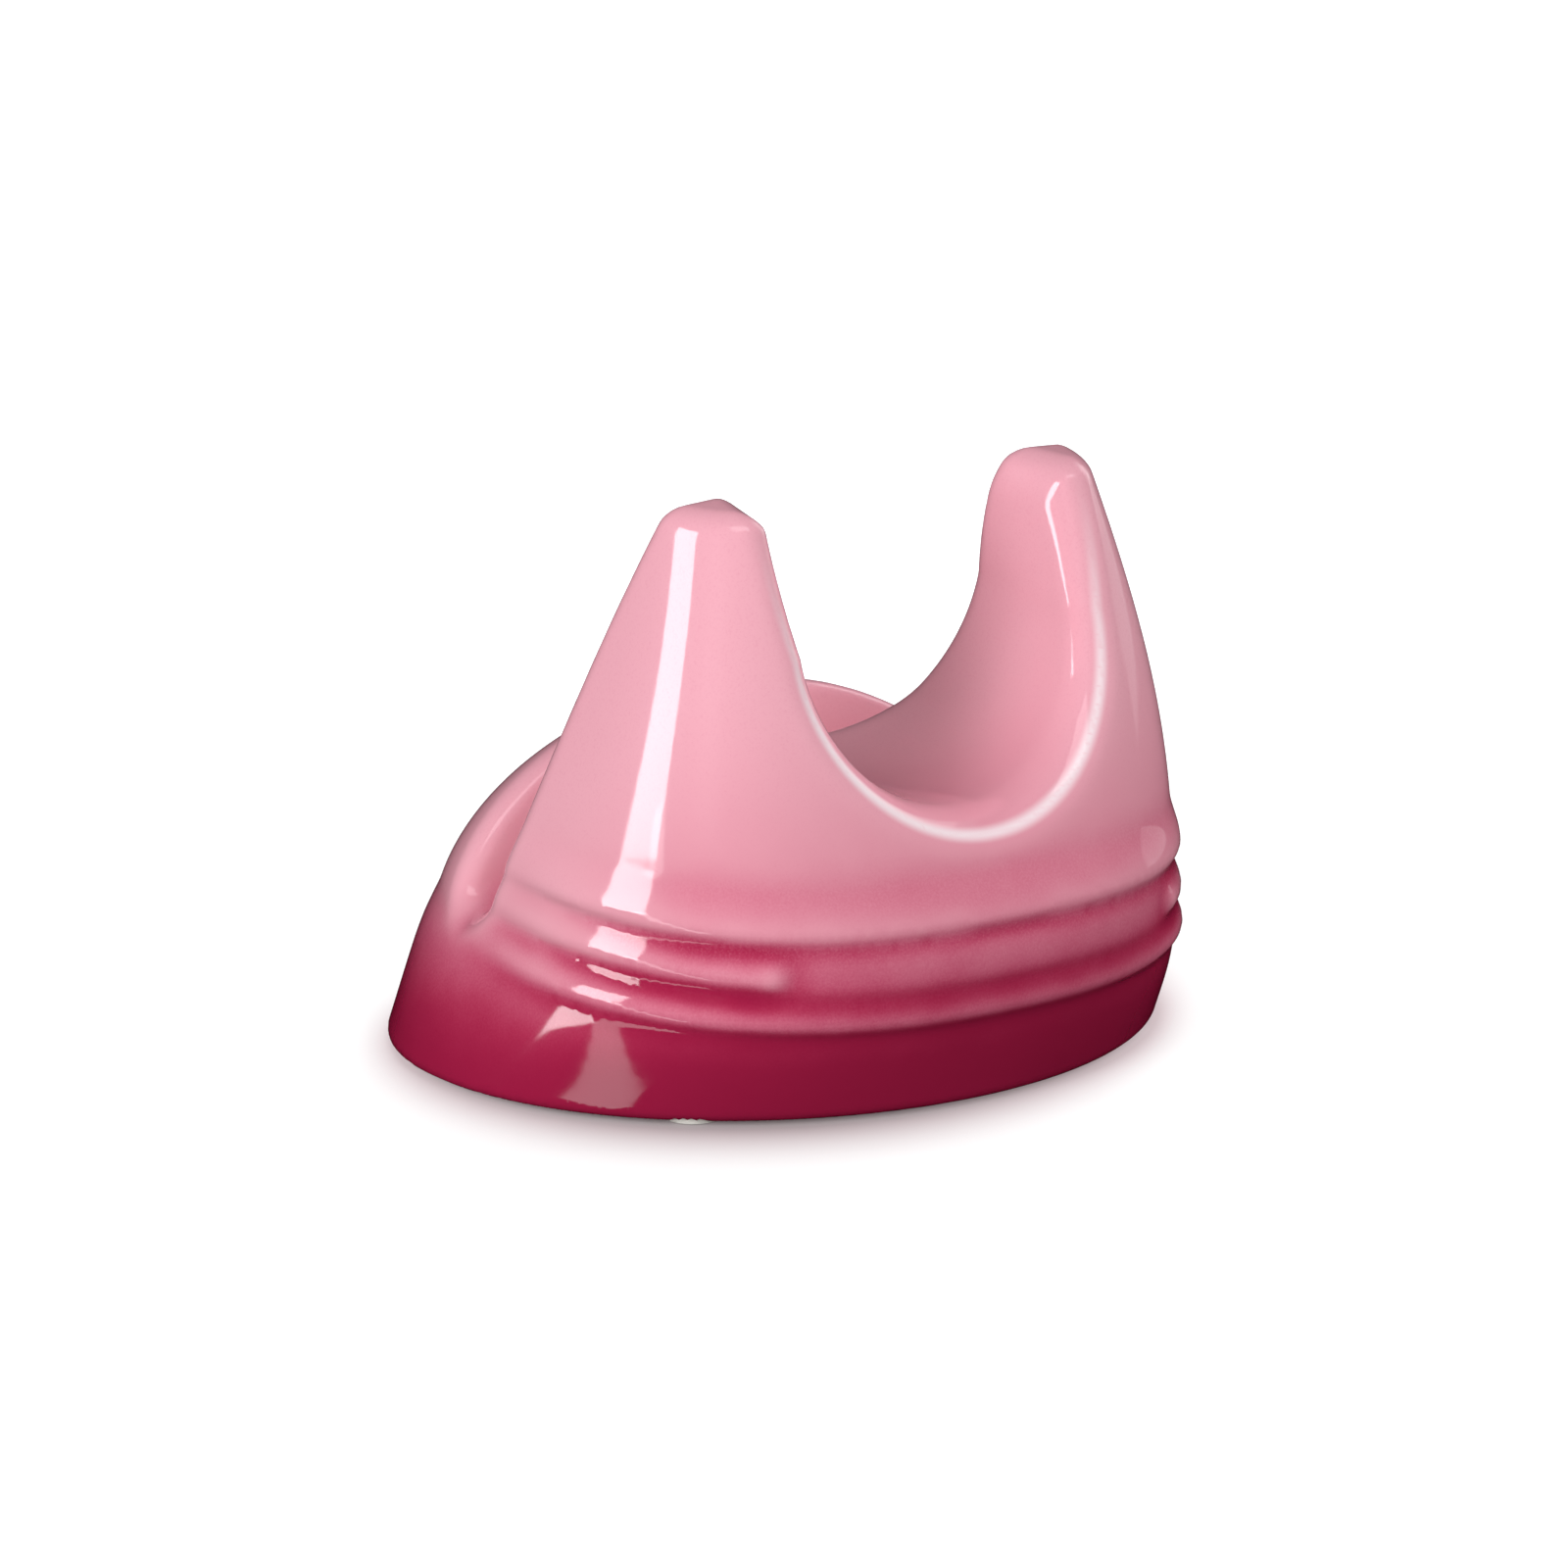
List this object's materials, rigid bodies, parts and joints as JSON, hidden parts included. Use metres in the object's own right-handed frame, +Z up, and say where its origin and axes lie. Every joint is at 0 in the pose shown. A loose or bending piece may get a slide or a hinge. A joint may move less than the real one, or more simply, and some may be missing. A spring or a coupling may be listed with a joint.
{
  "type": "pot lid holder",
  "caption": "Glazed stoneware stand that holds a pot lid upright: a horned front wall with a deep knob notch, a cross slot for the lid's rim and a rounded hump behind it.",
  "frame": {"origin": "centre of the overall box on the table plane", "axes": "+Z up, +X along the lid slot, -Y towards the front wall that the knob notch opens through"},
  "size_m": [0.1408, 0.1298, 0.1057],
  "materials": {
    "glazed_stoneware": "glossy reactive glaze that fades from pale pink at the tips to deep berry at the foot, over fired clay",
    "foot_pad": "soft matt non-slip pad"
  },
  "bodies": {
    "root": {"stoneware_body": "glazed_stoneware", "foot_pad_front_left": "foot_pad", "foot_pad_front_right": "foot_pad", "foot_pad_back_left": "foot_pad", "foot_pad_back_right": "foot_pad"}
  },
  "joints": []
}
